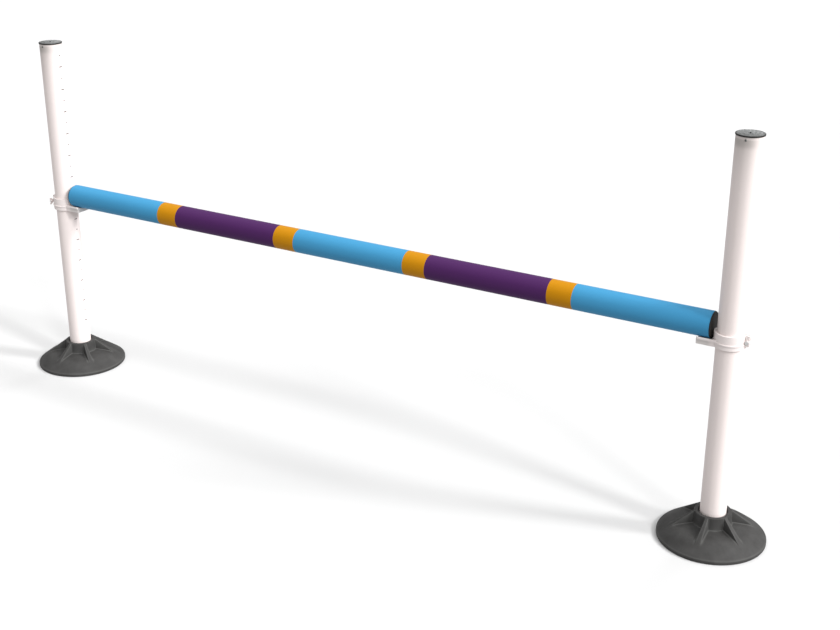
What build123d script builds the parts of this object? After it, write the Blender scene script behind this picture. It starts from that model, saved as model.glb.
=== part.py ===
from build123d import *
import math
import os

# A training jump: two free-standing stands with height-adjustable cups and a striped pole.
# Millimetres, +Z up. Origin on the ground midway between the stands, X along the pole.
# The left stand is on the -X side. Each cup points inwards, under the end of the pole.

# Driving dimensions
long_band_length = 520.0
short_band_length = 100.0
plug_to_collar_gap = 3.0

tube_radius = 48.0
tube_wall = 3.0
tube_length = 1500.0

foot_radius = 200.0
foot_rim_height = 14.0
foot_base_chamfer = 3.6
foot_rim_radius = 3.6
foot_hub_height = 111.0
foot_hub_wall = 19.7
foot_hub_spread = 4.0
foot_pocket_inner_height = 64.5
foot_pocket_outer_height = 52.0
foot_rib_count = 6
foot_first_rib_angle = 30.0
foot_pocket_inner_radius = 3.0
foot_pocket_blend_radius = 75.0
foot_rib_top_width = 11.0
foot_rib_outer_width = 20.0
foot_rib_draft = 4.3
foot_socket_floor = 20.0
foot_socket_clearance = 0.3
foot_mouth_flare = 6.2
foot_mouth_depth = 16.0

cap_flange_overhang = 2.0
cap_flange_thickness = 5.0
cap_skirt_depth = 26.0
cap_skirt_wall = 3.0
cap_skirt_clearance = 0.15
cap_edge_radius = 1.5
cap_rim_width = 5.0
cap_dish_depth = 0.8
cap_boss_radius = 6.0

cap_screw_drop = 10.0
cap_screw_radius = 2.0
cap_screw_head_radius = 4.2
cap_screw_head_height = 2.4
cap_screw_point = 4.0
cap_screw_clearance = 0.1

cup_bottom = 768.5
cup_height = 52.5
cup_collar_wall = 8.5
cup_collar_clearance = 0.5
cup_trough_length = 52.0
cup_half_width = 45.0
cup_floor_rise = 15.8
cup_lip_rise = 11.0
cup_trough_lip_width = 3.0
cup_wall = 3.5
cup_rim_overhang = 3.0
cup_rim_underside = 16.5
cup_rim_band = 5.0
cup_underside_ribs = 2
cup_end_radius = 5.0

ear_length = 14.0
ear_bottom_rise = 12.0
ear_half_gap = 2.5
ear_thickness = 9.5
ear_boss_radius = 8.5
ear_boss_height = 2.0
ear_rib_width = 3.0
ear_corner_radius = 4.0

bolt_to_collar = 6.5
bolt_rise = 28.5
bolt_radius = 4.0
bolt_clearance = 0.15
bolt_head_across_flats = 13.0
bolt_head_height = 5.5
bolt_head_chamfer = 0.8

washer_radius = 8.0
washer_thickness = 1.6

nut_hub_base_radius = 7.5
nut_hub_top_radius = 6.0
nut_hub_length = 20.0
nut_wing_start = 18.5
nut_wing_span = 31.0
nut_wing_rise = 9.0
nut_wing_thickness = 4.0
nut_wing_foot = 4.0
nut_wing_root_depth = 1.5
nut_wing_corner = 3.5
nut_clearance = 0.08
nut_seat_clearance = 0.3
bolt_end_past_nut = 3.0

pole_radius = 49.0
pole_core_wall = 3.0
pole_band_thickness = 0.6
pole_band_clearance = 0.1
pole_seat_clearance = 0.3

plug_flange_thickness = 5.0
plug_flange_inset = 1.4
plug_edge_radius = 2.0
plug_skirt_depth = 40.0
plug_skirt_wall = 3.0
plug_skirt_clearance = 0.15

# The bands from the left end of the pole to the right end
long_band_colours = ["blue", "purple", "blue", "purple", "blue"]
short_band_colour = "orange"

# Lengths, heights and radii that follow
collar_bore = tube_radius + cup_collar_clearance
collar_radius = collar_bore + cup_collar_wall
cup_reach = collar_radius + cup_trough_length
ear_reach = collar_radius + ear_length
bolt_reach = collar_radius + bolt_to_collar

short_band_count = len(long_band_colours) - 1
pole_length = len(long_band_colours) * long_band_length + short_band_count * short_band_length
pole_end_to_stand_axis = collar_radius + plug_to_collar_gap + plug_flange_thickness
stand_spacing = pole_length + 2 * pole_end_to_stand_axis

socket_radius = tube_radius + foot_socket_clearance
foot_hub_top_radius = socket_radius + foot_hub_wall
foot_hub_base_radius = foot_hub_top_radius + foot_hub_spread

tube_bore = tube_radius - tube_wall
tube_bottom = foot_socket_floor
tube_top = tube_bottom + tube_length
cap_screw_height = tube_top - cap_screw_drop
cap_top = tube_top + cap_flange_thickness
cap_flange_radius = tube_radius + cap_flange_overhang
cap_skirt_radius = tube_bore - cap_skirt_clearance
cap_dish_radius = cap_flange_radius - cap_rim_width

cup_top = cup_bottom + cup_height
cradle_floor = cup_bottom + cup_floor_rise
cradle_lip = cradle_floor + cup_lip_rise
cradle_half_width = cup_half_width - cup_trough_lip_width
cradle_radius = (cradle_half_width**2 + cup_lip_rise**2) / (2 * cup_lip_rise)
cradle_axis = cradle_floor + cradle_radius
rim_bottom = cup_bottom + cup_rim_underside
ear_outer_face = ear_half_gap + ear_thickness
ear_boss_face = ear_outer_face + ear_boss_height
bolt_height = cup_bottom + bolt_rise
nut_seat = ear_boss_face + washer_thickness + nut_seat_clearance

pole_axis = cradle_floor + pole_seat_clearance + pole_radius
core_radius = pole_radius - pole_band_thickness
core_bore = core_radius - pole_core_wall

# The stands are turned half round to each other, so one moulding serves both sides.
left_place = Location((-stand_spacing / 2, 0, 0))
right_place = Location((stand_spacing / 2, 0, 0), (0, 0, 180))
sides = {"left": left_place, "right": right_place}

os.makedirs("parts", exist_ok=True)


def save(solid, name):
    """Labels one finished piece and writes it under its own name."""
    solid.label = name
    export_step(solid, "parts/" + name + ".step")


def save_both(solid, name):
    """Writes the left copy of a piece, and the right copy turned half round."""
    for side, place in sides.items():
        save(place * solid, side + "_" + name)


def save_both_facing_front(solid, name):
    """Writes both copies of a piece without turning it, so that the cap screws face the front."""
    for side, place in sides.items():
        save(Location(place.position) * solid, side + "_" + name)


# The cone's slope carries on over the pockets as the crests of the ribs
cone_slope = (foot_hub_height - foot_rim_height) / (foot_radius - foot_hub_top_radius)
pocket_outer_radius = foot_radius - (foot_pocket_outer_height - foot_rim_height) / cone_slope

# Foot ribs: six bars that widen outwards, with moulding draft, cut back to the slope of the cone
rib_spread = (foot_rib_outer_width - foot_rib_top_width) / 2 / (pocket_outer_radius - foot_hub_top_radius)
rib_draft_at_floor = foot_hub_height * math.tan(math.radians(foot_rib_draft))
rib_inner_half = foot_rib_top_width / 2 - rib_spread * foot_hub_top_radius + rib_draft_at_floor
rib_outer_half = rib_inner_half + rib_spread * foot_radius

with BuildPart() as foot_ribs:
    with BuildSketch(Plane.XY):
        with BuildLine():
            Polyline(
                (0, -rib_inner_half),
                (foot_radius, -rib_outer_half),
                (foot_radius, rib_outer_half),
                (0, rib_inner_half),
                close=True,
            )
        make_face()
    extrude(amount=foot_hub_height, taper=foot_rib_draft)

with BuildPart() as foot_cone:
    with BuildSketch(Plane.XZ):
        with BuildLine():
            Polyline(
                (0, 0),
                (foot_radius - foot_base_chamfer, 0),
                (foot_radius, foot_base_chamfer),
                (foot_radius, foot_rim_height),
                (foot_hub_top_radius, foot_hub_height),
                (0, foot_hub_height),
                close=True,
            )
        make_face()
    revolve(axis=Axis.Z)

# Foot: hub and low skirt that blend into the cone, the ribs between the pockets, and the socket
with BuildPart() as foot:
    with BuildSketch(Plane.XZ) as foot_section:
        with BuildLine():
            Polyline(
                (0, 0),
                (foot_radius - foot_base_chamfer, 0),
                (foot_radius, foot_base_chamfer),
                (foot_radius, foot_rim_height),
                (pocket_outer_radius, foot_pocket_outer_height),
                (foot_hub_base_radius, foot_pocket_inner_height),
                (foot_hub_top_radius, foot_hub_height),
                (0, foot_hub_height),
                close=True,
            )
        make_face()
        outer_corner = (pocket_outer_radius, foot_pocket_outer_height)
        fillet(foot_section.vertices().sort_by_distance(outer_corner)[0], foot_pocket_blend_radius)
        inner_corner = (foot_hub_base_radius, foot_pocket_inner_height)
        fillet(foot_section.vertices().sort_by_distance(inner_corner)[0], foot_pocket_inner_radius)
    revolve(axis=Axis.Z)
    with PolarLocations(0, foot_rib_count, start_angle=foot_first_rib_angle):
        add(foot_ribs.part)
    add(foot_cone.part, mode=Mode.INTERSECT)
    with BuildSketch(Plane.XZ):
        with BuildLine():
            Polyline(
                (0, foot_socket_floor),
                (socket_radius, foot_socket_floor),
                (socket_radius, foot_hub_height - foot_mouth_depth),
                (socket_radius + foot_mouth_flare, foot_hub_height),
                (0, foot_hub_height),
                close=True,
            )
        make_face()
    revolve(axis=Axis.Z, mode=Mode.SUBTRACT)
    widest_edges = foot.edges().filter_by(GeomType.CIRCLE).group_by(SortBy.RADIUS)[-1]
    fillet(widest_edges.group_by(Axis.Z)[-1], radius=foot_rim_radius)

save_both(foot.part, "foot")


# Upright: plain tube with one hole for the cap screw on the front
with BuildPart() as upright:
    with BuildSketch(Plane.XY.offset(tube_bottom)):
        Circle(tube_radius)
        Circle(tube_bore, mode=Mode.SUBTRACT)
    extrude(amount=tube_length)
    with BuildSketch(Plane.XZ):
        with Locations((0, cap_screw_height)):
            Circle(cap_screw_radius + cap_screw_clearance)
    extrude(amount=tube_radius, mode=Mode.SUBTRACT)

save_both_facing_front(upright.part, "upright")


# Top cap: rounded flange on the tube's end, hollow skirt inside it, small raised centre
with BuildPart() as top_cap:
    with BuildSketch(Plane.XY.offset(tube_top)):
        Circle(cap_flange_radius)
    extrude(amount=cap_flange_thickness)
    with BuildSketch(Plane.XY.offset(tube_top)):
        Circle(cap_skirt_radius)
        Circle(cap_skirt_radius - cap_skirt_wall, mode=Mode.SUBTRACT)
    extrude(amount=-cap_skirt_depth)
    with BuildSketch(Plane.XY.offset(cap_top)):
        Circle(cap_dish_radius)
        Circle(cap_boss_radius, mode=Mode.SUBTRACT)
    extrude(amount=-cap_dish_depth, mode=Mode.SUBTRACT)
    with BuildSketch(Plane.XZ):
        with Locations((0, cap_screw_height)):
            Circle(cap_screw_radius + cap_screw_clearance)
    extrude(amount=tube_radius, mode=Mode.SUBTRACT)
    cap_rim = top_cap.edges().group_by(Axis.Z)[-1].sort_by(SortBy.RADIUS)[-1]
    fillet(cap_rim, radius=cap_edge_radius)

save_both_facing_front(top_cap.part, "top_cap")


# Cap screw: domed head on the tube's front, shank through the tube and the cap's skirt
with BuildPart() as cap_screw:
    with BuildSketch(Plane.XZ.offset(tube_radius)):
        with Locations((0, cap_screw_height)):
            Circle(cap_screw_head_radius)
    extrude(amount=cap_screw_head_height)
    chamfer(cap_screw.edges().group_by(Axis.Y)[0], length=cap_screw_head_height / 3)
    with BuildSketch(Plane.XZ.offset(tube_radius)):
        with Locations((0, cap_screw_height)):
            Circle(cap_screw_radius)
    extrude(amount=-(tube_wall + cap_skirt_wall + cap_screw_point))

save_both_facing_front(cap_screw.part, "cap_screw")


# Cup: trough with side walls, an overhanging rim and ribs below, a split collar and two ears
side_half_width = cup_half_width - cup_rim_overhang
pocket_half_width = side_half_width - cup_wall
pocket_arc_radius = cradle_radius + cup_wall
pocket_side_top = cradle_axis - math.sqrt(pocket_arc_radius**2 - pocket_half_width**2)
pocket_run = cup_reach - cup_wall - collar_radius
pocket_length = (pocket_run - cup_underside_ribs * cup_wall) / (cup_underside_ribs + 1)
ear_bottom = cup_bottom + ear_bottom_rise
bolt_centre = (-bolt_reach, bolt_height)

with BuildPart() as cup:
    with BuildSketch(Plane.YZ):
        with BuildLine():
            ThreePointArc(
                (-cradle_half_width, cradle_lip), (0, cradle_floor), (cradle_half_width, cradle_lip)
            )
            Polyline(
                (cradle_half_width, cradle_lip),
                (cup_half_width, cradle_lip),
                (cup_half_width, rim_bottom),
                (side_half_width, rim_bottom),
                (side_half_width, cup_bottom),
                (-side_half_width, cup_bottom),
                (-side_half_width, rim_bottom),
                (-cup_half_width, rim_bottom),
                (-cup_half_width, cradle_lip),
                (-cradle_half_width, cradle_lip),
            )
        make_face()
    extrude(amount=cup_reach)
    with BuildSketch(Plane.XY.offset(cup_bottom)):
        RectangleRounded(2 * cup_reach, 2 * cup_half_width, cup_end_radius)
    extrude(amount=cup_height, mode=Mode.INTERSECT)
    for bay in range(cup_underside_ribs + 1):
        bay_start = collar_radius + bay * (pocket_length + cup_wall)
        with BuildSketch(Plane.YZ.offset(bay_start)):
            with BuildLine():
                ThreePointArc(
                    (-pocket_half_width, pocket_side_top),
                    (0, cradle_floor - cup_wall),
                    (pocket_half_width, pocket_side_top),
                )
                Polyline(
                    (pocket_half_width, pocket_side_top),
                    (pocket_half_width, cup_bottom),
                    (-pocket_half_width, cup_bottom),
                    (-pocket_half_width, pocket_side_top),
                )
            make_face()
        extrude(amount=pocket_length, mode=Mode.SUBTRACT)
    with BuildSketch(Plane.XY.offset(cup_bottom)):
        Circle(collar_radius)
    extrude(amount=cup_height)
    with BuildSketch(Plane.XY.offset(rim_bottom)):
        Circle(collar_radius + cup_rim_overhang)
    extrude(amount=cup_rim_band)
    with BuildSketch(Plane.XZ):
        with BuildLine():
            Polyline(
                (-collar_bore, ear_bottom),
                (-ear_reach, ear_bottom),
                (-ear_reach, cup_top),
                (-collar_bore, cup_top),
                close=True,
            )
        ear_profile = make_face()
        fillet(ear_profile.vertices().group_by(Axis.X)[0], radius=ear_corner_radius)
    extrude(amount=ear_outer_face, both=True)
    with BuildSketch(Plane.XZ):
        with Locations(bolt_centre):
            Circle(ear_boss_radius)
        with BuildLine():
            Polyline((-collar_radius, cup_top - ear_rib_width), bolt_centre,
                     (-collar_radius, ear_bottom + ear_rib_width))
        trace(line_width=ear_rib_width)
    extrude(amount=ear_boss_face, both=True)
    with BuildSketch(Plane.XZ):
        with Locations(bolt_centre):
            Circle(bolt_radius + bolt_clearance)
    extrude(amount=ear_boss_face, both=True, mode=Mode.SUBTRACT)
    with BuildSketch(Plane.XY.offset(cup_bottom)):
        with Locations((-ear_reach / 2, 0)):
            Rectangle(ear_reach, 2 * ear_half_gap)
    extrude(amount=cup_height, mode=Mode.SUBTRACT)
    with BuildSketch(Plane.XY.offset(cup_bottom)):
        Circle(collar_bore)
    extrude(amount=cup_height, mode=Mode.SUBTRACT)

save_both(cup.part, "cup")


# Clamp bolt: hexagon head on the +Y ear, shank through both ears and the wing nut
bolt_tip = nut_seat + nut_hub_length + bolt_end_past_nut

with BuildPart() as clamp_bolt:
    with BuildSketch(Plane.XZ.offset(-ear_boss_face)):
        with Locations(bolt_centre):
            RegularPolygon(bolt_head_across_flats / 2, 6, major_radius=False)
    extrude(amount=-bolt_head_height)
    chamfer(clamp_bolt.edges().group_by(Axis.Y)[-1], length=bolt_head_chamfer)
    with BuildSketch(Plane.XZ.offset(-ear_boss_face)):
        with Locations(bolt_centre):
            Circle(bolt_radius)
    extrude(amount=ear_boss_face + bolt_tip)
    chamfer(clamp_bolt.edges().group_by(Axis.Y)[0], length=bolt_head_chamfer)

save_both(clamp_bolt.part, "clamp_bolt")


# Washer between the -Y ear and the wing nut
with BuildPart() as washer:
    with BuildSketch(Plane.XZ.offset(ear_boss_face)):
        with Locations(bolt_centre):
            Circle(washer_radius)
            Circle(bolt_radius + bolt_clearance, mode=Mode.SUBTRACT)
    extrude(amount=washer_thickness)

save_both(washer.part, "washer")


# Wing nut: tapered hub and two wings that stand clear of the collar as the nut turns
nut_hub_draft = math.degrees(math.atan((nut_hub_base_radius - nut_hub_top_radius) / nut_hub_length))
wing_root = nut_hub_top_radius - nut_wing_root_depth

with BuildPart() as wing_nut:
    with BuildSketch(Plane.XZ.offset(nut_seat)):
        with Locations(bolt_centre):
            Circle(nut_hub_base_radius)
    extrude(amount=nut_hub_length, taper=nut_hub_draft)
    for up in (1, -1):
        with BuildSketch(Plane.YZ.offset(-bolt_reach)):
            with BuildLine():
                Polyline(
                    (-nut_seat - nut_wing_foot, bolt_height + up * wing_root),
                    (-nut_seat - nut_wing_start, bolt_height + up * nut_wing_span / 2),
                    (-nut_seat - nut_wing_start - nut_wing_rise, bolt_height + up * nut_wing_span / 2),
                    (-nut_seat - nut_hub_length, bolt_height + up * wing_root),
                    close=True,
                )
            wing_profile = make_face()
            wing_tips = wing_profile.vertices().sort_by(Axis.Y)
            fillet(wing_tips[-2:] if up > 0 else wing_tips[:2], radius=nut_wing_corner)
        extrude(amount=nut_wing_thickness / 2, both=True)
    with BuildSketch(Plane.XZ.offset(nut_seat)):
        with Locations(bolt_centre):
            Circle(bolt_radius + nut_clearance)
    extrude(amount=nut_hub_length, mode=Mode.SUBTRACT)

save_both(wing_nut.part, "wing_nut")


# Pole core: one plain tube from end to end
pole_start = -pole_length / 2

with BuildPart() as pole_core:
    with BuildSketch(Plane.YZ.offset(pole_start)):
        with Locations((0, pole_axis)):
            Circle(core_radius)
            Circle(core_bore, mode=Mode.SUBTRACT)
    extrude(amount=pole_length)

save(pole_core.part, "pole_core")


# Coloured bands: sleeves over the core, long and short in turn, end to end
bands = []
for long_colour in long_band_colours:
    bands.append((long_colour, long_band_length))
    bands.append((short_band_colour, short_band_length))
bands.pop()

band_start = pole_start
for number, (colour, length) in enumerate(bands, start=1):
    with BuildPart() as band:
        with BuildSketch(Plane.YZ.offset(band_start)):
            with Locations((0, pole_axis)):
                Circle(pole_radius)
                Circle(core_radius + pole_band_clearance, mode=Mode.SUBTRACT)
        extrude(amount=length)
    save(band.part, f"band_{number}_{colour}")
    band_start += length


# End plugs: rounded flange against the core's end, hollow skirt inside the bore
plug_skirt_radius = core_bore - plug_skirt_clearance

with BuildPart() as end_plug:
    with BuildSketch(Plane.YZ.offset(-pole_start)):
        with Locations((0, pole_axis)):
            Circle(pole_radius - plug_flange_inset)
    extrude(amount=plug_flange_thickness)
    fillet(end_plug.edges().group_by(Axis.X)[-1], radius=plug_edge_radius)
    with BuildSketch(Plane.YZ.offset(-pole_start)):
        with Locations((0, pole_axis)):
            Circle(plug_skirt_radius)
            Circle(plug_skirt_radius - plug_skirt_wall, mode=Mode.SUBTRACT)
    extrude(amount=-plug_skirt_depth)

save(end_plug.part, "right_end_plug")
save(mirror(end_plug.part, about=Plane.YZ), "left_end_plug")
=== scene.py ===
import math

import bmesh
import bpy
import numpy as np
from mathutils import Matrix, Vector


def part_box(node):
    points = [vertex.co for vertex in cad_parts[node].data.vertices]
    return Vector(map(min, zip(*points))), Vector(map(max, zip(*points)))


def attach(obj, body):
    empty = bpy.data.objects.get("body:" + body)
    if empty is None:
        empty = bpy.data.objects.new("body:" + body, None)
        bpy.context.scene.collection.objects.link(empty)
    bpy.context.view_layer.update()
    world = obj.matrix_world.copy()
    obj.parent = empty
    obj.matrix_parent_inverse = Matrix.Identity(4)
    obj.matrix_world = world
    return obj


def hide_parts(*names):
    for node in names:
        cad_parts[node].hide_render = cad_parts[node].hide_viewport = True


# A training jump on a pale studio floor: two stands with clamp cups and a striped pole.
# Metres, +Z up, X along the pole. Each new surface is a grid of points worked out as whole arrays.

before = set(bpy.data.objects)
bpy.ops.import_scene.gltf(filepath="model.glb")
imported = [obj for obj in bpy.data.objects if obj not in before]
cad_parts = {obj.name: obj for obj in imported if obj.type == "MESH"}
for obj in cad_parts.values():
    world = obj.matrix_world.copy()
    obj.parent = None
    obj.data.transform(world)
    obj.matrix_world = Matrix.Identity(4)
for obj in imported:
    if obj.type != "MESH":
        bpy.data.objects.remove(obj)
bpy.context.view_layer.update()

# Sizes of the real pieces, in metres
mm = 0.001
foot_radius = 200 * mm
stand_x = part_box("right_foot")[1].x - foot_radius

tube_radius = 48 * mm
tube_wall = 3 * mm
tube_bottom = 20 * mm
tube_top = 1520 * mm
tube_edge_radius = 0.5 * mm

# The painted shade under each cap, grey and strongest on the side away from the lamps: where it starts
# and ends below the cap, where its middle lies round the tube, how far round it reaches and how softly it
# fades there
cap_shade_start = 9 * mm
cap_shade_end = 34 * mm
cap_shade_tail = 100 * mm
cap_shade_side = math.radians(210)
cap_shade_reach = math.radians(98)
cap_shade_fade = math.radians(9)

foot_rim_height = 14 * mm
foot_hub_height = 111 * mm
foot_hub_top_radius = 68 * mm
foot_hub_base_radius = 72 * mm
foot_pocket_inner_height = 64.5 * mm
foot_pocket_outer_height = 52 * mm
foot_rib_inner_half = 5.5 * mm
foot_rib_outer_half = 10 * mm
foot_rib_draft = math.tan(math.radians(4.3))
foot_rib_crest_round = 1.5 * mm
foot_rib_base_round = 2.5 * mm
foot_pocket_blend_radius = 75 * mm
foot_pocket_blend_reach = 19 * mm
foot_sector_count = 6
foot_socket_radius = 48.3 * mm
foot_socket_floor = 20 * mm
foot_mouth_radius = 54.5 * mm
foot_mouth_depth = 16 * mm

cap_flange_radius = 50 * mm
cap_flange_thickness = 5 * mm
cap_skirt_radius = 44.85 * mm
cap_skirt_wall = 3 * mm
cap_skirt_depth = 26 * mm
cap_dish_radius = 45 * mm
cap_dish_depth = 0.8 * mm
cap_boss_radius = 7 * mm
cap_wave_height = 0.22 * mm
# The direction across the cap tops in which their painted sheen grows
cap_sheen_towards = (0.25, 0.97)
cap_nub_radius = 2.2 * mm
cap_nub_height = 3 * mm
cap_screw_height = 1510 * mm
cap_screw_head_radius = 3.9 * mm
cap_screw_head_height = 2.4 * mm
cap_screw_shank_radius = 2 * mm
cap_screw_length = 9 * mm

bolt_radius = 4 * mm
bolt_head_across = 13 * mm
bolt_head_height = 5.5 * mm
bolt_thread_pitch = 1.25 * mm
bolt_thread_depth = 0.55 * mm
bolt_thread_length = 34 * mm
bolt_tip_chamfer = 0.8 * mm
washer_radius = 8 * mm
washer_bore = 4.15 * mm
cup_trough_start = stand_x - 52 * mm
cup_trough_end = stand_x - 68 * mm
cup_lip_height = 26.8 * mm
cup_rim_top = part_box("left_cup")[0].z + cup_lip_height
cup_edge_radius = 0.5 * mm
nut_edge_radius = 0.4 * mm

pole_radius = 49 * mm
pole_half_length = 1500 * mm
pole_height = (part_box("pole_core")[0].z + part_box("pole_core")[1].z) / 2
band_inner_radius = 48.5 * mm
core_radius = 48.4 * mm
core_wall = 3 * mm
plug_radius = 47.6 * mm
plug_thickness = 5 * mm
plug_skirt_radius = 45.25 * mm
plug_skirt_depth = 40 * mm
plug_skirt_wall = 3 * mm
plug_dish_radius = 38 * mm
plug_dish_depth = 1 * mm

mark_lowest = 220 * mm
mark_step = 50 * mm
mark_count = 26
mark_long = 17 * mm
mark_short = 7 * mm
mark_half_height = 1.9 * mm
mark_rise = 0.12 * mm

# Points once round a large piece, a cap, a bolt or screw, a washer and a mark
around, cap_around, bolt_around, washer_around, mark_around = 128, 192, 96, 64, 24
collection = bpy.context.scene.collection


def link_smooth(name, mesh):
    """The mesh as an object in the scene, with smooth shading."""
    mesh.polygons.foreach_set("use_smooth", np.ones(len(mesh.polygons), bool))
    piece = bpy.data.objects.new(name, mesh)
    collection.objects.link(piece)
    return piece


def keep_flats(piece):
    """Leaves the flat faces of a smooth piece their flat normals."""
    keep_flat = piece.modifiers.new("keep_flat", "WEIGHTED_NORMAL")
    keep_flat.keep_sharp = True
    return piece


def smooth_object(name, vertices, faces):
    """A smooth object from its points and its faces."""
    mesh = bpy.data.meshes.new(name)
    mesh.from_pydata(vertices.tolist(), [], faces)
    return keep_flats(link_smooth(name, mesh))


def shell_faces(rows, columns, ring):
    """The faces of a closed grid of points, as arrays of quads and of triangles.

    With ring the last row joins the first, as on a washer. Otherwise the first and last rows
    each shrink to one point, as at the two ends of a ball, and a fan of triangles closes each."""
    if ring:
        grid = np.arange(rows * columns).reshape(rows, columns)
        lower, upper = grid, np.roll(grid, -1, axis=0)
        fans = np.empty((0, 3), int)
    else:
        grid = 1 + np.arange((rows - 2) * columns).reshape(rows - 2, columns)
        lower, upper = grid[:-1], grid[1:]
        bottom, top = grid[0], grid[-1]
        first, last = np.zeros_like(bottom), np.full_like(top, grid[-1, -1] + 1)
        fans = np.concatenate([
            np.stack([first, np.roll(bottom, -1), bottom], axis=-1),
            np.stack([last, top, np.roll(top, -1)], axis=-1),
        ])
    quads = np.stack([lower, np.roll(lower, -1, axis=1), np.roll(upper, -1, axis=1), upper], axis=-1)
    return quads.reshape(-1, 4), fans


def kept(values, ring):
    """The values[row, column] that a shell keeps: all of a ring's, or one at each closed end."""
    rows, columns = values.shape[:2]
    flat = values.reshape(rows * columns, -1)
    if ring:
        return flat
    return np.concatenate([flat[:1], flat[columns:-columns], flat[[-columns]]])


def shell(name, points, ring=False):
    """A closed surface through points[row, column], whose columns run once round."""
    quads, fans = shell_faces(*points.shape[:2], ring)
    return smooth_object(name, kept(points, ring), quads.tolist() + fans.tolist())


def put_edge(piece, shares, ring=False):
    """Stores shares[row, column] as the piece's own edge attribute, point for point with shell."""
    edge = piece.data.attributes.new("edge", "FLOAT", "POINT")
    edge.data.foreach_set("value", kept(shares, ring).ravel())


def rounded(corners, closed=False, steps=6):
    """A profile through (radius, height, rounding) corners, each corner an arc of its rounding."""
    c = np.array(corners, float)
    out = []
    count = len(c)
    for i in range(count):
        p, radius = c[i, :2], c[i, 2]
        if radius <= 0 or (not closed and i in (0, count - 1)):
            out.append(p[None])
            continue
        before, after = c[i - 1, :2] - p, c[(i + 1) % count, :2] - p
        to_before, to_after = before / np.linalg.norm(before), after / np.linalg.norm(after)
        half_turn = (math.pi - math.acos(np.clip(to_before @ to_after, -1, 1))) / 2
        reach = radius * math.tan(half_turn)
        middle = (to_before + to_after) / np.linalg.norm(to_before + to_after)
        centre = p + middle * radius / math.cos(half_turn)
        start, end = p + to_before * reach - centre, p + to_after * reach - centre
        share = np.linspace(0, 1, steps)[:, None]
        sweep = 2 * half_turn
        arc = (np.sin((1 - share) * sweep) * start + np.sin(share * sweep) * end) / math.sin(sweep)
        out.append(centre + arc)
    return np.concatenate(out)


def divided(profile, longest):
    """The profile with its long runs cut into equal steps no longer than longest."""
    out = [profile[:1]]
    for a, b in zip(profile[:-1], profile[1:]):
        steps = max(1, math.ceil(np.linalg.norm(b - a) / longest))
        out.append(a + (b - a) * np.linspace(0, 1, steps + 1)[1:, None])
    return np.concatenate(out)


def full_turn(columns):
    """The angles of equal steps once round."""
    return np.arange(columns) * 2 * math.pi / columns


def polar(radius, angle, height):
    """Points from their radius and angle round the Z axis, and their height."""
    return np.stack([radius * np.cos(angle), radius * np.sin(angle), height], axis=-1)


def turned(profile, columns=around):
    """Points[row, column] of a profile of (radius, height) carried round the Z axis."""
    angle = full_turn(columns)
    return polar(profile[:, :1], angle, profile[:, 1:] + 0 * angle)


def place(points, at=(0, 0, 0), matrix=None):
    """Points turned by matrix and then moved to their place."""
    if matrix is not None:
        points = points @ np.array(matrix).T
    return points + np.array(at)


# Turns, as matrices: half round Z, from Z to X, and from Z to the front, which is -Y
half_round = [[-1, 0, 0], [0, -1, 0], [0, 0, 1]]
along_x = [[0, 0, 1], [1, 0, 0], [0, 1, 0]]
to_front = [[1, 0, 0], [0, 0, -1], [0, 1, 0]]

# Each stand's place along X, and how its pieces are turned from the left stand's
sides = {"left": (-stand_x, None), "right": (stand_x, half_round)}


def finish_piece(piece, body, material, slot, *nodes):
    """Rides on its body, takes its material, and stands for its CAD nodes."""
    piece.data.materials.append(material)
    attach(piece, body)
    if nodes:
        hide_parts(*nodes)
    return piece


# Shader helpers


def node(tree, kind, **values):
    """A shader node with some of its inputs or settings set by name."""
    made = tree.nodes.new(kind)
    for key, value in values.items():
        if key in made.inputs:
            made.inputs[key].default_value = value
        else:
            setattr(made, key, value)
    return made


def mapped(tree, value, low, high, to_low=0.0, to_high=1.0):
    """The value carried from low..high to to_low..to_high, and held at the ends."""
    carried = node(tree, "ShaderNodeMapRange")
    for key, number in (("From Min", low), ("From Max", high), ("To Min", to_low), ("To Max", to_high)):
        carried.inputs[key].default_value = number
    tree.links.new(value, carried.inputs["Value"])
    return carried.outputs["Result"]


def product(tree, first, second):
    """Two values multiplied, and held to 0..1."""
    times = node(tree, "ShaderNodeMath", operation="MULTIPLY", use_clamp=True)
    tree.links.new(first, times.inputs[0])
    tree.links.new(second, times.inputs[1])
    return times.outputs["Value"]


def blended(tree, share, base, colour):
    """A colour laid over the base colour where share is 1."""
    mix = node(tree, "ShaderNodeMix", data_type="RGBA")
    mix.inputs["B"].default_value = (*colour, 1)
    tree.links.new(share, mix.inputs["Factor"])
    tree.links.new(base, mix.inputs["A"])
    return mix.outputs["Result"]


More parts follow.
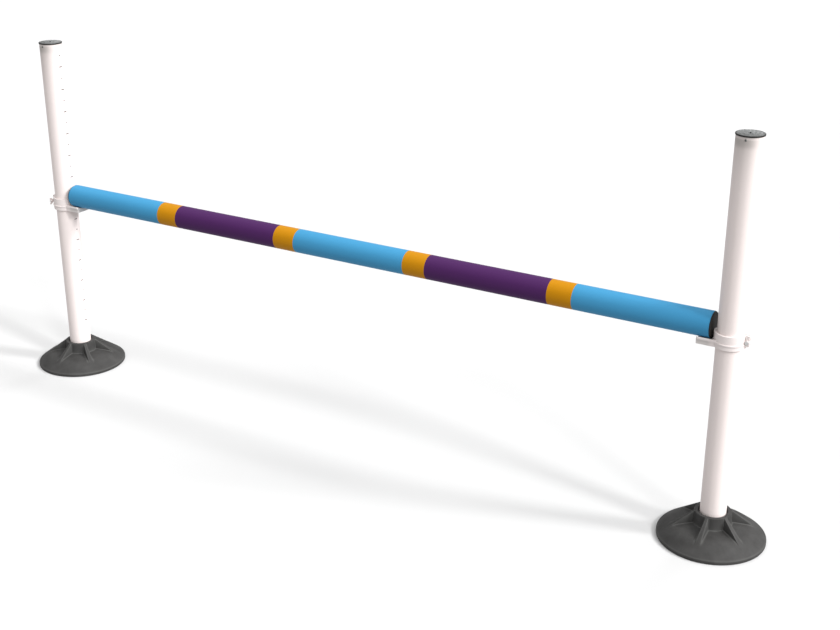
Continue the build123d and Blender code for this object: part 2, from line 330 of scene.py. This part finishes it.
def grain_group():
    """Moulded or extruded plastic: broad cloudy tone, fine grain, and a height for the bump.

    Cloud is a soft noise for colour, Grain is a close noise for roughness, and Height adds both."""
    group = bpy.data.node_groups.new("plastic_grain", "ShaderNodeTree")
    face = group.interface
    face.new_socket("Vector", in_out="INPUT", socket_type="NodeSocketVector")
    for name, value in (("Cloud Scale", 8.0), ("Grain Scale", 900.0), ("Cloud Share", 0.2)):
        face.new_socket(name, in_out="INPUT", socket_type="NodeSocketFloat").default_value = value
    for name in ("Cloud", "Grain", "Height"):
        face.new_socket(name, in_out="OUTPUT", socket_type="NodeSocketFloat")
    enter, leave = node(group, "NodeGroupInput"), node(group, "NodeGroupOutput")
    cloud = node(group, "ShaderNodeTexNoise", Detail=4.0, Roughness=0.6)
    grain = node(group, "ShaderNodeTexNoise", Detail=2.0, Roughness=0.5)
    mix = node(group, "ShaderNodeMix", data_type="FLOAT")
    link = group.links.new
    link(enter.outputs["Vector"], cloud.inputs["Vector"])
    link(enter.outputs["Vector"], grain.inputs["Vector"])
    link(enter.outputs["Cloud Scale"], cloud.inputs["Scale"])
    link(enter.outputs["Grain Scale"], grain.inputs["Scale"])
    link(enter.outputs["Cloud Share"], mix.inputs["Factor"])
    link(grain.outputs["Fac"], mix.inputs["A"])
    link(cloud.outputs["Fac"], mix.inputs["B"])
    link(cloud.outputs["Fac"], leave.inputs["Cloud"])
    link(grain.outputs["Fac"], leave.inputs["Grain"])
    link(mix.outputs["Result"], leave.inputs["Height"])
    return group


plastic_grain = grain_group()
noise_low, noise_high = 0.3, 0.7


def trough_shade_mask(tree, where):
    """1 on the sides of both troughs, where shade is painted: past the collar along X, and below the rim
    along Z.
    """
    split = node(tree, "ShaderNodeSeparateXYZ")
    tree.links.new(where, split.inputs["Vector"])
    out = node(tree, "ShaderNodeMath", operation="ABSOLUTE")
    tree.links.new(split.outputs["X"], out.inputs[0])
    past = mapped(tree, out.outputs["Value"], cup_trough_start, cup_trough_end)
    below = mapped(tree, split.outputs["Z"], cup_rim_top - 4 * mm, cup_rim_top - 8 * mm)
    return product(tree, past, below)


def plastic(name, dark, light, rough=(0.3, 0.45), cloud=8.0, grain=900.0, bump=0.05, depth=0.0002,
            stretch=(1, 1, 1), edge=None, specular=0.5, metallic=0.0, cloud_share=0.2, trough_shade=None,
            mottled=False):
    """A finish whose colour drifts from dark to light, with grain in its gloss and its bump.

    edge is a colour for the piece's own edge attribute: painted highlights on the feet, painted shade
    under the tubes' caps, grey dust with painted sheen on the caps, and the dark ends of the core;
    mottled breaks that up into the clouds of the drift. The trough colour paints shade on the sides
    of the cups' troughs, below their rims. stretch scales the noise along X, Y and Z."""
    material = bpy.data.materials.new(name)
    material.use_nodes = True
    tree = material.node_tree
    link = tree.links.new
    shader = tree.nodes["Principled BSDF"]
    place_on = node(tree, "ShaderNodeTexCoord")
    mapping = node(tree, "ShaderNodeMapping")
    mapping.inputs["Scale"].default_value = stretch
    link(place_on.outputs["Object"], mapping.inputs["Vector"])
    texture = node(tree, "ShaderNodeGroup", node_tree=plastic_grain)
    texture.inputs["Cloud Scale"].default_value = cloud
    texture.inputs["Grain Scale"].default_value = grain
    texture.inputs["Cloud Share"].default_value = cloud_share
    link(mapping.outputs["Vector"], texture.inputs["Vector"])
    drift = mapped(tree, texture.outputs["Cloud"], noise_low, noise_high)
    colour = node(tree, "ShaderNodeMix", data_type="RGBA")
    colour.inputs["A"].default_value = (*dark, 1)
    colour.inputs["B"].default_value = (*light, 1)
    link(drift, colour.inputs["Factor"])
    base = colour.outputs["Result"]
    if edge is not None:
        share = node(tree, "ShaderNodeAttribute", attribute_name="edge").outputs["Fac"]
        if mottled:
            share = product(tree, share, drift)
        base = blended(tree, share, base, edge)
    if trough_shade is not None:
        # Painted shade on the sides of the cups' troughs
        base = blended(tree, trough_shade_mask(tree, place_on.outputs["Object"]), base, trough_shade)
    link(base, shader.inputs["Base Color"])
    gloss = mapped(tree, texture.outputs["Grain"], noise_low, noise_high, *rough)
    link(gloss, shader.inputs["Roughness"])
    relief = node(tree, "ShaderNodeBump", Strength=bump, Distance=depth)
    link(texture.outputs["Height"], relief.inputs["Height"])
    link(relief.outputs["Normal"], shader.inputs["Normal"])
    shader.inputs["Specular IOR Level"].default_value = specular
    shader.inputs["Metallic"].default_value = metallic
    return material


# white_tube's edge colour is the painted shade under the caps
white_tube = plastic("white_tube", (0.785, 0.705, 0.685), (0.825, 0.745, 0.725), rough=(0.4, 0.52),
                     cloud=3.0, grain=400.0, stretch=(1, 1, 0.15), bump=0.04, specular=0.2,
                     edge=(0.17, 0.17, 0.15))
# white_moulded's trough colour is painted shade on the trough sides, under the pole
white_moulded = plastic("white_moulded", (0.75, 0.68, 0.665), (0.80, 0.73, 0.715), rough=(0.4, 0.55),
                        cloud=12.0, grain=1600.0, bump=0.08, specular=0.3, trough_shade=(0.61, 0.575, 0.56))
nut_finish = plastic("white_nut", (0.75, 0.68, 0.665), (0.80, 0.73, 0.715), rough=(0.35, 0.5),
                     cloud=40.0, grain=1600.0, bump=0.08, specular=0.3)
# foot_moulded's edge colour is a painted highlight on the ribs, round the hub's foot and at the rim
foot_finish = plastic("foot_moulded", (0.032, 0.031, 0.030), (0.048, 0.047, 0.046), rough=(0.55, 0.78),
                      cloud=22.0, grain=700.0, bump=0.35, depth=0.0004, edge=(0.10, 0.10, 0.096),
                      cloud_share=0.35, specular=0.3)
# cap_moulded's edge colour is grey dust with a painted sheen on the cap tops
cap_finish = plastic("cap_moulded", (0.006, 0.006, 0.005), (0.014, 0.014, 0.012), rough=(0.4, 0.6),
                     cloud=160.0, grain=900.0, bump=0.5, depth=0.0005, cloud_share=0.6,
                     specular=0.3, edge=(0.34, 0.35, 0.35), mottled=True)
plug_finish = plastic("plug_moulded", (0.010, 0.009, 0.008), (0.016, 0.014, 0.013), rough=(0.5, 0.65),
                      cloud=30.0, grain=900.0, bump=0.15, specular=0.25)
core_finish = plastic("core_extruded", (0.76, 0.74, 0.72), (0.82, 0.80, 0.78), rough=(0.4, 0.5),
                      edge=(0.02, 0.07, 0.12))
screw_finish = plastic("screw_dark", (0.14, 0.15, 0.145), (0.22, 0.23, 0.22), rough=(0.35, 0.5),
                       grain=2500.0, metallic=1.0)
zinc_finish = plastic("zinc_plated", (0.74, 0.74, 0.75), (0.90, 0.90, 0.89), rough=(0.42, 0.58),
                      cloud=60.0, grain=3000.0, metallic=1.0)
mark_finish = plastic("mark_print", (0.035, 0.03, 0.03), (0.07, 0.062, 0.06), rough=(0.6, 0.7),
                      specular=0.1)
band_colours = {
    "blue": ((0.047, 0.248, 0.455), (0.050, 0.268, 0.485)),
    "orange": ((0.465, 0.195, 0.001), (0.50, 0.213, 0.002)),
    "purple": ((0.059, 0.014, 0.086), (0.064, 0.016, 0.092)),
}
band_finishes = {
    name: plastic("film_" + name, dark, light, rough=(0.42, 0.52), cloud=4.0, grain=500.0,
                  stretch=(0.3, 1, 1), bump=0.05, specular=0.1)
    for name, (dark, light) in band_colours.items()
}


# Foot: heavy moulded cone with six pockets between drafted ribs, and a flared socket


def foot_points():
    """Points[row, column] of the foot, and the share of painted highlight at each point.

    Rows follow the section through a pocket, from the socket's floor over the hub, the pocket
    and the cone to the underside. Columns run round. Near a rib a column keeps its distance
    from the rib's middle plane, so the rib's walls are straight, and its height there goes
    from the pocket up to the cone, with rounded corners above and below."""
    slope = (foot_hub_height - foot_rim_height) / (foot_radius - foot_hub_top_radius)
    pocket_outer_radius = foot_radius - (foot_pocket_outer_height - foot_rim_height) / slope
    blend_end = pocket_outer_radius + foot_pocket_blend_reach
    section = rounded([
        (0, foot_socket_floor, 0),
        (foot_socket_radius, foot_socket_floor, 0),
        (foot_socket_radius, foot_hub_height - foot_mouth_depth, 4 * mm),
        (foot_mouth_radius, foot_hub_height, 1 * mm),
        (foot_hub_top_radius, foot_hub_height, 1.2 * mm),
        (foot_hub_base_radius, foot_pocket_inner_height, 3.5 * mm),
        (pocket_outer_radius, foot_pocket_outer_height, foot_pocket_blend_radius),
        (foot_radius, foot_rim_height, 4 * mm),
        (foot_radius, 0, 2.4 * mm),
        (0, 0, 0),
    ], steps=7)
    section = divided(section, 6 * mm)
    r, floor = section[:, :1], section[:, 1:]
    beyond = r - foot_hub_top_radius
    soft = 0.7 * mm
    crest = foot_hub_height - slope * soft * np.logaddexp(0, beyond / soft)
    on_top = (np.arange(len(r))[:, None] > np.argmax(r[:, 0] >= foot_mouth_radius)) & (r < blend_end)
    under = np.maximum.accumulate(r, axis=0) > blend_end
    depth = np.where(on_top & ~under, np.maximum(crest - floor, 0), 0)

    crest_round, base_round = foot_rib_crest_round, foot_rib_base_round
    bend = np.linspace(0, math.pi / 2, 6)
    top_drop = np.minimum(crest_round, 0.45 * depth)
    base_rise = np.minimum(base_round, 0.45 * depth)
    rib_length = pocket_outer_radius - foot_hub_top_radius
    spread = (foot_rib_outer_half - foot_rib_inner_half) / rib_length
    half_width = foot_rib_inner_half + spread * np.clip(beyond, 0, rib_length)
    wall = half_width + 0.2 * mm + foot_rib_draft * depth
    flat = np.array([0, 0.5, 1]) * (half_width - crest_round)
    over = half_width - crest_round + crest_round * np.sin(bend[1:])
    down = wall + base_round * (1 - np.cos(bend))
    offset = np.concatenate([flat, over, down], axis=1)
    height = np.concatenate([
        floor + depth + 0 * flat,
        floor + depth - top_drop * (1 - np.cos(bend[1:])),
        floor + base_rise * (1 - np.sin(bend)),
    ], axis=1)
    reach = np.maximum(r, foot_socket_radius)
    angle = np.arcsin(offset / reach)
    share = np.linspace(0, 1, 9)[1:]
    half_sector = math.pi / foot_sector_count
    open_angle = angle[:, -1:] + (half_sector - angle[:, -1:]) * share
    angle = np.concatenate([angle, open_angle], axis=1)
    height = np.concatenate([height, floor + 0 * open_angle], axis=1)

    # Painted highlights in a lighter grey: along the ribs' crests and feet, round the foot of the hub, and
    # at the rim
    crest_start, crest_end = flat.shape[1] - 1, flat.shape[1] + over.shape[1]
    edge = np.zeros_like(height)
    highlight_fade = np.clip(depth / (4 * mm), 0, 1)
    edge[:, crest_start:crest_end] = highlight_fade * 0.35
    edge[:, crest_end + 2:crest_end + 6] = highlight_fade * 0.55
    in_pocket = on_top & (depth > 20 * mm)
    hub_foot = np.exp(-((r - foot_hub_base_radius - 1 * mm) / (1.6 * mm)) ** 2) * in_pocket
    edge = np.maximum(edge, 0.6 * hub_foot * (height < floor + 1 * mm))
    rim_corner = np.hypot(r - foot_radius, floor - foot_rim_height)
    edge = np.maximum(edge, 0.4 * np.exp(-(rim_corner / (3.2 * mm)) ** 2))

    # One sector is mirrored and repeated all round
    angle = np.concatenate([angle, 2 * half_sector - angle[:, -2:0:-1]], axis=1)
    height = np.concatenate([height, height[:, -2:0:-1]], axis=1)
    edge = np.concatenate([edge, edge[:, -2:0:-1]], axis=1)
    turns = half_sector + np.arange(foot_sector_count) * 2 * half_sector
    angle = np.concatenate([angle + t for t in turns], axis=1)
    height, edge = np.tile(height, foot_sector_count), np.tile(edge, foot_sector_count)
    return polar(r, angle, height)[::-1], edge[::-1]


foot_grid, foot_highlights = foot_points()
for side, (x, turn) in sides.items():
    foot = shell(side + "_foot_shell", place(foot_grid, (x, 0, 0), turn))
    # The painted highlights, stored as the foot's edge attribute
    put_edge(foot, foot_highlights)
    finish_piece(foot, "stands", foot_finish, "foot_plastic", side + "_foot")


# Uprights: plain extruded tubes, with their ends lightly broken


def tube_ring(outer, inner, low, high, edge):
    """The closed profile of a tube: outside, one end, inside, other end."""
    return rounded([(outer, low, edge), (outer, high, edge), (inner, high, edge), (inner, low, edge)],
                   closed=True, steps=4)


def painted_cap_shade(below_cap, turn):
    """How much shade is painted on the tube at a distance below its cap and a turn from the shade's middle.

    A lighter ring lies next to the cap, then a grey painted shade that ends softly,
    1 / (1 + exp((d - end) / softness)), and a tail that fades as exp(-d / length). Past
    its reach round the tube all of it thins out to a fifth."""
    ring = 1 / (1 + np.exp(-(below_cap - cap_shade_start) / (0.5 * mm)))
    shade_band = 1 / (1 + np.exp((below_cap - cap_shade_end) / (4 * mm)))
    tail = 0.42 * np.exp(-below_cap / cap_shade_tail)
    away = np.arccos(np.clip(np.cos(turn), -1, 1))
    one_side = 0.2 + 0.8 / (1 + np.exp((away - cap_shade_reach) / cap_shade_fade))
    return ((0.36 + 0.22 * ring) * shade_band + tail * (1 - shade_band)) * one_side


def upright_profile():
    """The tube's section, with rows every 2 mm on its outside near the cap to carry the painted shade."""
    bore = tube_radius - tube_wall
    wall = divided(tube_ring(tube_radius, bore, tube_bottom, tube_top, tube_edge_radius), 25 * mm)
    near_cap = tube_top - np.arange(1, 36) * 2 * mm
    outside = wall[:, 0] > tube_radius - 1e-6
    extra = np.stack([np.full(len(near_cap), tube_radius), near_cap], axis=-1)
    first, last = np.flatnonzero(outside)[[0, -1]]
    run = np.concatenate([wall[first:last + 1], extra])
    run = run[np.argsort(run[:, 1])]
    return np.concatenate([wall[:first], run, wall[last + 1:]])


upright_grid = turned(upright_profile())
for side, (x, _) in sides.items():
    points = place(upright_grid, (x, 0, 0))
    tube = shell(side + "_tube", points, ring=True)
    from_shade_side = np.arctan2(points[..., 1], points[..., 0] - x) - cap_shade_side
    # Painted shade under the cap, stored as the tube's edge attribute
    put_edge(tube, painted_cap_shade(tube_top - points[..., 2], from_shade_side), ring=True)
    finish_piece(tube, "stands", white_tube, "white_tube", side + "_upright")


# Height marks: printed dashes and dots, one every 50 mm, on the side that faces the other stand


def mark_points(x, facing):
    """Pill shapes laid on the tube, as a list of points[row, column].

    A pill's outline is a rounded bar, |u/a|^4 + |v/b|^4 = 1. Its rows run from the middle of
    the top face out to the edge, down, and back to the middle underneath."""
    angle = full_turn(mark_around)
    c, s = np.cos(angle), np.sin(angle)
    outline_u = np.sign(c) * np.abs(c) ** 0.5
    outline_v = np.sign(s) * np.abs(s) ** 0.5
    rows = np.array([(0, 1), (0.6, 1), (0.94, 1), (1, 0.5), (1, -1), (0, -1)])
    pills = []
    for k in range(mark_count):
        half_length = (mark_long if k % 2 == 0 else mark_short) / 2
        u = rows[:, :1] * half_length * outline_u
        v = rows[:, :1] * mark_half_height * outline_v
        radius = tube_radius + mark_rise * rows[:, 1:] + 0 * u
        height = mark_lowest + k * mark_step + v
        pills.append(place(polar(radius, facing + u / tube_radius, height), (x, 0, 0)))
    return pills


def joined(name, grids):
    """Several closed surfaces, all of one count of rows and columns, as one object."""
    quads, fans = shell_faces(*grids[0].shape[:2], ring=False)
    vertices = [kept(points, ring=False) for points in grids]
    faces = []
    for start in np.arange(len(grids)) * len(vertices[0]):
        faces += (quads + start).tolist() + (fans + start).tolist()
    return smooth_object(name, np.concatenate(vertices), faces)


for side, (x, turn) in sides.items():
    facing = 0 if turn is None else math.pi
    marks = joined(side + "_height_marks", [p[::-1] for p in mark_points(x, facing)])
    finish_piece(marks, "stands", mark_finish, "white_tube")


# Top caps: rounded flange with a rough shallow dish, a small boss, and a skirt inside the tube


def cap_points():
    """The cap's section turned round Z, and how much grey dust with painted sheen lies at each point.

    The dish is roughened by a sum of small waves. The painted sheen grows towards the back of the stand."""
    top = tube_top + cap_flange_thickness
    inner = cap_skirt_radius - cap_skirt_wall
    section = rounded([
        (0, tube_top, 0),
        (inner, tube_top, 0.6 * mm),
        (inner, tube_top - cap_skirt_depth, 0.5 * mm),
        (cap_skirt_radius, tube_top - cap_skirt_depth, 0.8 * mm),
        (cap_skirt_radius, tube_top, 0),
        (cap_flange_radius, tube_top, 0.6 * mm),
        (cap_flange_radius, top, 1.8 * mm),
        (cap_dish_radius, top, 0.5 * mm),
        (cap_dish_radius - 1 * mm, top - cap_dish_depth, 0.5 * mm),
        (cap_boss_radius, top - cap_dish_depth, 0.6 * mm),
        (cap_boss_radius - 1.4 * mm, top + 0.2 * mm, 0.6 * mm),
        (cap_nub_radius + 0.6 * mm, top + 0.3 * mm, 0.5 * mm),
        (cap_nub_radius, top + cap_nub_height, 0.8 * mm),
        (0, top + cap_nub_height + 0.2 * mm, 0),
    ], steps=5)
    section = divided(section, 1.4 * mm)
    points = turned(section, cap_around)
    x, y, z = np.moveaxis(points, -1, 0)
    waves = (np.sin(910 * x + 2.1 * np.sin(530 * y)) * np.sin(820 * y + 1.7 * np.sin(610 * x))
             + 0.6 * np.sin(1670 * x + 740 * y) * np.sin(1510 * y - 860 * x))
    dish = np.exp(-((z - top + cap_dish_depth) / (0.15 * mm)) ** 2)
    points[..., 2] += cap_wave_height * waves * dish
    r = np.hypot(x, y)
    # Painted sheen, lighter towards the back, over the mottled dust
    sheen_side = (cap_sheen_towards[0] * x + cap_sheen_towards[1] * y) / cap_flange_radius
    inside = 1 / (1 + np.exp((r - cap_flange_radius + 3 * mm) / (0.4 * mm)))
    off_nub = 1 / (1 + np.exp((cap_nub_radius + 1.5 * mm - r) / (0.4 * mm)))
    shares = (0.85 + 0.45 * sheen_side) * inside * off_nub * (z > top - 2 * mm)
    return points, shares


cap_grid, cap_dust_and_sheen = cap_points()
for side, (x, _) in sides.items():
    cap = shell(side + "_cap_shell", place(cap_grid, (x, 0, 0)))
    put_edge(cap, cap_dust_and_sheen)
    finish_piece(cap, "stands", cap_finish, "cap_plastic", side + "_top_cap")


# Cap screws: domed heads with a cross recess


def screw_points():
    """A dome over the tube's front, z = h (1 - (r/R)^2)^0.45, with a smooth cross pressed in."""
    angle = full_turn(bolt_around)
    share = np.concatenate([[0], np.linspace(0.06, 0.98, 24), [1.0]])[:, None]
    r = share * cap_screw_head_radius + 0 * angle
    dome = cap_screw_head_height * np.clip(1 - share ** 2, 0, 1) ** 0.45 + 0 * angle
    across = np.minimum(np.abs(r * np.cos(angle)), np.abs(r * np.sin(angle)))
    slot = 1 / (1 + np.exp((across - 0.45 * mm) / (0.07 * mm)))
    end = 1 / (1 + np.exp((r - 2.3 * mm) / (0.1 * mm)))
    lift = dome - 1.2 * mm * slot * end
    shank_radii = np.array([[cap_screw_shank_radius], [cap_screw_shank_radius], [0]])
    shank_lifts = np.array([[0], [-cap_screw_length], [-cap_screw_length - 1 * mm]])
    r = np.concatenate([r, shank_radii + 0 * angle])
    lift = np.concatenate([lift, shank_lifts + 0 * angle])
    return polar(r, angle, lift)[::-1]


screw_grid = screw_points()
for side, (x, _) in sides.items():
    at = (x, -tube_radius, cap_screw_height)
    screw = shell(side + "_cap_screw_head", place(screw_grid, at, to_front))
    finish_piece(screw, "stands", screw_finish, "dark_steel", side + "_cap_screw")


# Pole: core tube, coloured bands, and the two end plugs, all turned about the pole's axis


def on_pole(profile):
    """A (radius, distance along X) profile turned about the pole's axis."""
    return place(turned(profile), (0, 0, pole_height), along_x)


core_profile = tube_ring(core_radius, core_radius - core_wall, -pole_half_length, pole_half_length, 0.4 * mm)
core_points = on_pole(core_profile)
core = shell("core_tube", core_points, ring=True)
put_edge(core, 1.0 * (np.abs(core_points[..., 0]) > pole_half_length - 1 * mm), ring=True)
finish_piece(core, "pole", core_finish, "pole_plastic", "pole_core")

for name in sorted(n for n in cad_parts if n.startswith("band_")):
    colour = name.split("_")[-1]
    low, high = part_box(name)
    profile = tube_ring(pole_radius, band_inner_radius, low.x, high.x, 0.15 * mm)
    finish_piece(shell(name + "_film", on_pole(profile), ring=True), "pole", band_finishes[colour],
                 "band_" + colour, name)


def plug_section():
    """The right plug's section: skirt inside the core, flange on its end, a shallow dished face."""
    end = pole_half_length + plug_thickness
    inner = plug_skirt_radius - plug_skirt_wall
    section = rounded([
        (0, pole_half_length, 0),
        (inner, pole_half_length, 0.6 * mm),
        (inner, pole_half_length - plug_skirt_depth, 0.6 * mm),
        (plug_skirt_radius, pole_half_length - plug_skirt_depth, 1 * mm),
        (plug_skirt_radius, pole_half_length, 0),
        (plug_radius, pole_half_length, 0.6 * mm),
        (plug_radius, end, 2 * mm),
        (plug_dish_radius, end, 0.6 * mm),
        (plug_dish_radius - plug_dish_depth, end - plug_dish_depth, 0.6 * mm),
        (0, end - plug_dish_depth, 0),
    ], steps=6)
    return divided(section, 8 * mm)


plug_grid = place(turned(plug_section()), matrix=along_x)
for side, turn in (("left", half_round), ("right", None)):
    plug = shell(side + "_plug_shell", place(plug_grid, (0, 0, pole_height), turn))
    finish_piece(plug, "pole", plug_finish, "plug_plastic", side + "_end_plug")


# Cups and wing nuts: the solids' own shapes, with their moulded edges rounded


def eased(name, node_name, radius):
    """A copy of a solid's mesh with its doubles merged and its sharp edges bevelled."""
    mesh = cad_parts[node_name].data.copy()
    mesh.name = name
    mesh.materials.clear()
    work = bmesh.new()
    work.from_mesh(mesh)
    bmesh.ops.remove_doubles(work, verts=work.verts, dist=0.005 * mm)
    work.to_mesh(mesh)
    work.free()
    piece = link_smooth(name, mesh)
    ease = piece.modifiers.new("eased_edges", "BEVEL")
    ease.width = radius
    ease.segments = 3
    ease.limit_method = "ANGLE"
    ease.angle_limit = math.radians(35)
    ease.use_clamp_overlap = False
    return keep_flats(piece)


for side in sides:
    cup_body, nut_body = side + "_cup", side + "_wing_nut"
    finish_piece(eased(side + "_cup_shell", cup_body, cup_edge_radius), cup_body, white_moulded,
                 "cup_plastic", cup_body)
    finish_piece(eased(side + "_nut_shell", nut_body, nut_edge_radius), nut_body, nut_finish,
                 "nut_plastic", nut_body)


# Clamp bolts and washers: lathe and thread surfaces along the bolt


def bolt_points(length):
    """Hexagon head, plain shank and thread round Z, from the head's outer face to the tip.

    The head's radius is half the width across flats over the cosine of the angle from the
    nearest flat, trimmed by a cone at its outer face. The thread takes from the shank's radius
    a triangle wave of one pitch, in height less the turn."""
    angle = full_turn(bolt_around)
    from_flat = (angle + math.pi / 6) % (math.pi / 3) - math.pi / 6
    flat_half = bolt_head_across / 2
    hexagon = flat_half / np.cos(from_flat)
    heights, radii = [], []
    for share in (0, 0.5, 0.94):
        heights.append(0.0)
        radii.append(share * flat_half + 0 * angle)
    for height in np.array([0.05, 0.3, 0.6, 0.9, 1.2]) * mm:
        heights.append(height)
        radii.append(np.minimum(hexagon, flat_half - 0.2 * mm + 1.7 * height))
    for height, inset in ((bolt_head_height - 0.3 * mm, 0), (bolt_head_height - 0.08 * mm, 0.08 * mm),
                          (bolt_head_height, 0.3 * mm)):
        heights.append(height)
        radii.append(hexagon - inset)
    heights.append(bolt_head_height)
    radii.append(bolt_radius + 0 * angle)
    thread_start = length - bolt_thread_length
    thread_end = length - bolt_tip_chamfer - 0.1 * mm
    run = np.arange(thread_start, thread_end, bolt_thread_pitch / 6)[:, None]
    wave = 2 * np.abs((run / bolt_thread_pitch - angle / (2 * math.pi)) % 1 - 0.5)
    cut = bolt_thread_depth * wave * np.clip((run - thread_start) / (2 * mm), 0, 1)
    heights = np.array(heights)[:, None] + 0 * angle
    heights = np.concatenate([heights, run + 0 * angle])
    radii = np.concatenate([np.array(radii), bolt_radius - cut])
    tip_radius = np.array([[bolt_radius - bolt_tip_chamfer], [0]]) + 0 * angle
    heights = np.concatenate([heights, length + 0 * tip_radius])
    radii = np.concatenate([radii, tip_radius])
    return polar(radii, angle, heights)


def along_bolt(points, node_name):
    """Points carried from Z to the bolt's line on the left stand, from the +Y end of a node."""
    low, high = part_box(node_name)
    middle = (low + high) / 2
    return place(points, (middle.x + stand_x, high.y, middle.z), to_front)


bolt_low, bolt_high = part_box("left_clamp_bolt")
bolt_grid = along_bolt(bolt_points(bolt_high.y - bolt_low.y), "left_clamp_bolt")
washer_low, washer_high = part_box("left_washer")
washer_profile = tube_ring(washer_radius, washer_bore, 0, washer_high.y - washer_low.y, 0.3 * mm)
washer_grid = along_bolt(turned(washer_profile, washer_around), "left_washer")
for side, (x, turn) in sides.items():
    bolt = shell(side + "_bolt_threaded", place(bolt_grid, (x, 0, 0), turn))
    finish_piece(bolt, side + "_cup", zinc_finish, "zinc_steel", side + "_clamp_bolt")
    washer = shell(side + "_washer_ring", place(washer_grid, (x, 0, 0), turn), ring=True)
    finish_piece(washer, side + "_cup", zinc_finish, "zinc_steel", side + "_washer")


# Floor: wide, matt and even. It takes the shadows, and throws no light back up.
floor_half = 40
floor_corners = [(-floor_half, -floor_half, 0), (floor_half, -floor_half, 0),
                 (floor_half, floor_half, 0), (-floor_half, floor_half, 0)]
floor_mesh = bpy.data.meshes.new("floor")
floor_mesh.from_pydata(floor_corners, [], [(0, 1, 2, 3)])
floor = bpy.data.objects.new("floor", floor_mesh)
collection.objects.link(floor)
floor_finish = bpy.data.materials.new("floor_pale")
floor_finish.use_nodes = True
floor_shader = floor_finish.node_tree.nodes["Principled BSDF"]
floor_shader.inputs["Base Color"].default_value = (0.59, 0.59, 0.59, 1)
floor_shader.inputs["Roughness"].default_value = 1.0
floor_shader.inputs["Specular IOR Level"].default_value = 0.0
floor_mesh.materials.append(floor_finish)
floor.visible_diffuse = False
floor.visible_glossy = False
floor.visible_shadow = False

# A grey room with a broad soft light overhead, whose lower half stands in for the floor's own light
world = bpy.data.worlds.new("studio")
world.use_nodes = True
room = world.node_tree
direction = node(room, "ShaderNodeTexCoord")
split = node(room, "ShaderNodeSeparateXYZ")
room_tones = node(room, "ShaderNodeValToRGB")
room_tones.color_ramp.interpolation = "EASE"
room_steps = ((0.0, 0.44), (0.48, 0.42), (0.58, 0.39), (0.78, 0.38), (0.92, 0.90), (1.0, 1.0))
for spot, tone in room_steps[1:-1]:
    room_tones.color_ramp.elements.new(spot).color = (tone, tone, tone, 1)
for stop, (spot, tone) in zip(room_tones.color_ramp.elements, room_steps):
    stop.position = spot
    stop.color = (tone, tone, tone, 1)
room.links.new(direction.outputs["Generated"], split.inputs["Vector"])
room.links.new(mapped(room, split.outputs["Z"], -1.0, 1.0), room_tones.inputs["Fac"])
room.links.new(room_tones.outputs["Color"], room.nodes["Background"].inputs["Color"])
room.nodes["Background"].inputs["Strength"].default_value = 1.4
bpy.context.scene.world = world


def sun(name, azimuth, elevation, strength, softness):
    """A soft studio light from a compass direction: azimuth 0 is +X and 90 is +Y.

    The directions and the softness, the light's width in the sky, are in degrees."""
    light = bpy.data.lights.new(name, "SUN")
    light.energy = strength
    light.angle = math.radians(softness)
    lamp = bpy.data.objects.new(name, light)
    a, e = math.radians(azimuth), math.radians(elevation)
    towards = Vector((math.cos(a) * math.cos(e), math.sin(a) * math.cos(e), math.sin(e)))
    lamp.rotation_mode = "QUATERNION"
    lamp.rotation_quaternion = towards.to_track_quat("Z", "Y")
    collection.objects.link(lamp)


sun("key_front", -33, 31, 0.7, 9)
sun("key_middle", -10, 33, 1.85, 9)
sun("key_back", 15, 35, 1.95, 9)
sun("rim_back", 80, 40, 0.3, 12)

camera_lens = 56.175
camera_place = Vector((2.74832, -4.16411, 2.5801))
camera_yaw, camera_pitch, camera_roll = 0.52864, 0.38543, 0.00321
camera_data = bpy.data.cameras.new("camera")
camera_data.lens = camera_lens
camera_data.sensor_width = 36
camera_data.sensor_fit = "HORIZONTAL"
camera = bpy.data.objects.new("camera", camera_data)
collection.objects.link(camera)
forward = Vector((-math.sin(camera_yaw) * math.cos(camera_pitch),
                  math.cos(camera_yaw) * math.cos(camera_pitch), -math.sin(camera_pitch)))
level = Vector((math.cos(camera_yaw), math.sin(camera_yaw), 0))
upward = level.cross(forward)
right = math.cos(camera_roll) * level + math.sin(camera_roll) * upward
up = -math.sin(camera_roll) * level + math.cos(camera_roll) * upward
camera.matrix_world = Matrix((
    (right.x, up.x, -forward.x, camera_place.x),
    (right.y, up.y, -forward.y, camera_place.y),
    (right.z, up.z, -forward.z, camera_place.z),
    (0, 0, 0, 1),
))
bpy.context.scene.camera = camera
bpy.context.scene.view_settings.view_transform = "Standard"
